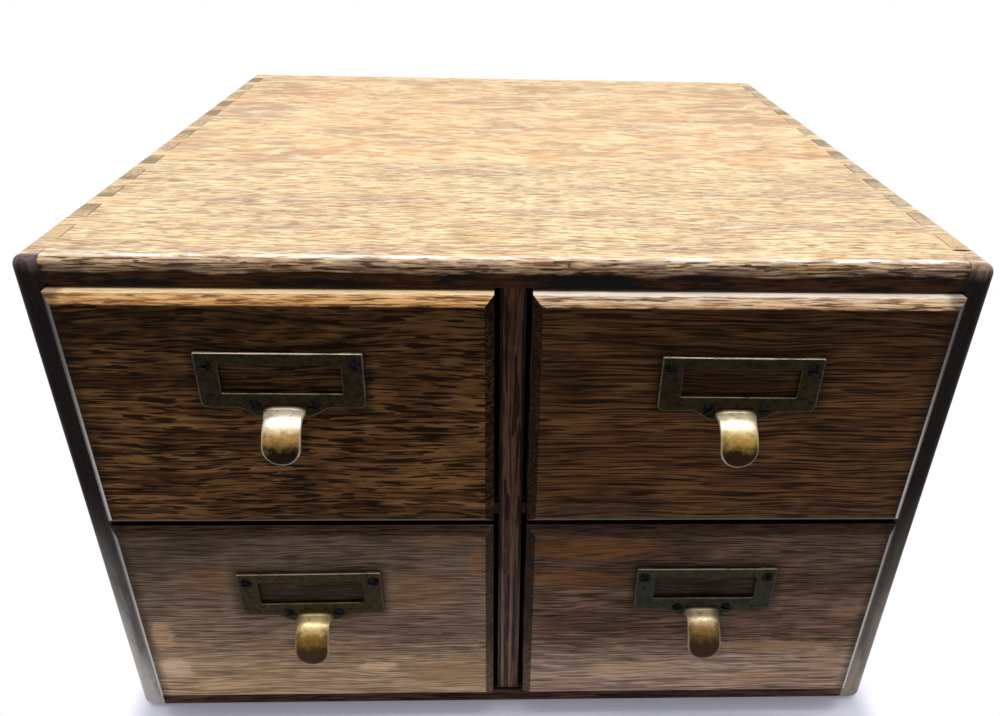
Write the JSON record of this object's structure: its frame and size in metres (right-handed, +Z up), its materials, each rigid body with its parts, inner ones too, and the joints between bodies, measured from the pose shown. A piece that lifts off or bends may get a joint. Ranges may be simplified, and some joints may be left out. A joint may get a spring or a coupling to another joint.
{
  "type": "index card cabinet",
  "caption": "Tabletop oak card cabinet, dovetailed case, bevelled drawers that slide out, each with a brass label holder and curled finger pull.",
  "frame": {"origin": "middle of the bounding box on the underside of the case", "axes": "+X to the viewer's right, +Y from the drawer fronts to the back, +Z up"},
  "size_m": [0.356, 0.3752, 0.234],
  "materials": {
    "case_oak": "aged oil finish",
    "panel_oak": "raw",
    "front_oak": "dark aged finish",
    "drawer_wood": "raw, worn",
    "follower_wood": "worn",
    "aged_brass": "aged, rubbed bright",
    "screw_steel": "blackened",
    "nail_steel": "dull",
    "foot_steel": "dull"
  },
  "bodies": {
    "case": {"case_top_front_board": "case_oak", "case_top_back_board": "case_oak", "case_bottom": "case_oak", "case_left_side": "case_oak", "case_right_side": "case_oak", "centre_partition": "case_oak", "left_shelf": "panel_oak", "right_shelf": "panel_oak", "back_panel": "panel_oak", "back_panel_nails": "nail_steel"},
    "lower_left_drawer": {"lower_left_drawer_front": "front_oak", "lower_left_drawer_left_side": "drawer_wood", "lower_left_drawer_right_side": "drawer_wood", "lower_left_drawer_back": "drawer_wood", "lower_left_drawer_bottom": "drawer_wood", "lower_left_label_holder_pull": "aged_brass", "lower_left_label_holder_screws": "screw_steel"},
    "lower_left_follower": {"lower_left_follower_block": "follower_wood", "lower_left_follower_foot": "foot_steel"},
    "lower_right_drawer": {"lower_right_drawer_front": "front_oak", "lower_right_drawer_left_side": "drawer_wood", "lower_right_drawer_right_side": "drawer_wood", "lower_right_drawer_back": "drawer_wood", "lower_right_drawer_bottom": "drawer_wood", "lower_right_label_holder_pull": "aged_brass", "lower_right_label_holder_screws": "screw_steel"},
    "lower_right_follower": {"lower_right_follower_block": "follower_wood", "lower_right_follower_foot": "foot_steel"},
    "upper_left_drawer": {"upper_left_drawer_front": "front_oak", "upper_left_drawer_left_side": "drawer_wood", "upper_left_drawer_right_side": "drawer_wood", "upper_left_drawer_back": "drawer_wood", "upper_left_drawer_bottom": "drawer_wood", "upper_left_label_holder_pull": "aged_brass", "upper_left_label_holder_screws": "screw_steel"},
    "upper_left_follower": {"upper_left_follower_block": "follower_wood", "upper_left_follower_foot": "foot_steel"},
    "upper_right_drawer": {"upper_right_drawer_front": "front_oak", "upper_right_drawer_left_side": "drawer_wood", "upper_right_drawer_right_side": "drawer_wood", "upper_right_drawer_back": "drawer_wood", "upper_right_drawer_bottom": "drawer_wood", "upper_right_label_holder_pull": "aged_brass", "upper_right_label_holder_screws": "screw_steel"},
    "upper_right_follower": {"upper_right_follower_block": "follower_wood", "upper_right_follower_foot": "foot_steel"}
  },
  "joints": [
    {"name": "lower_left_drawer_slide", "type": "slide", "parent": "case", "child": "lower_left_drawer", "axis": [0, -1, 0], "range_m": [0, 0.26]},
    {"name": "lower_left_follower_slide", "type": "slide", "parent": "lower_left_drawer", "child": "lower_left_follower", "axis": [0, -1, 0], "range_m": [-0.026, 0.21]},
    {"name": "lower_right_drawer_slide", "type": "slide", "parent": "case", "child": "lower_right_drawer", "axis": [0, -1, 0], "range_m": [0, 0.26]},
    {"name": "lower_right_follower_slide", "type": "slide", "parent": "lower_right_drawer", "child": "lower_right_follower", "axis": [0, -1, 0], "range_m": [-0.026, 0.21]},
    {"name": "upper_left_drawer_slide", "type": "slide", "parent": "case", "child": "upper_left_drawer", "axis": [0, -1, 0], "range_m": [0, 0.26]},
    {"name": "upper_left_follower_slide", "type": "slide", "parent": "upper_left_drawer", "child": "upper_left_follower", "axis": [0, -1, 0], "range_m": [-0.026, 0.21]},
    {"name": "upper_right_drawer_slide", "type": "slide", "parent": "case", "child": "upper_right_drawer", "axis": [0, -1, 0], "range_m": [0, 0.26]},
    {"name": "upper_right_follower_slide", "type": "slide", "parent": "upper_right_drawer", "child": "upper_right_follower", "axis": [0, -1, 0], "range_m": [-0.026, 0.21]}
  ]
}
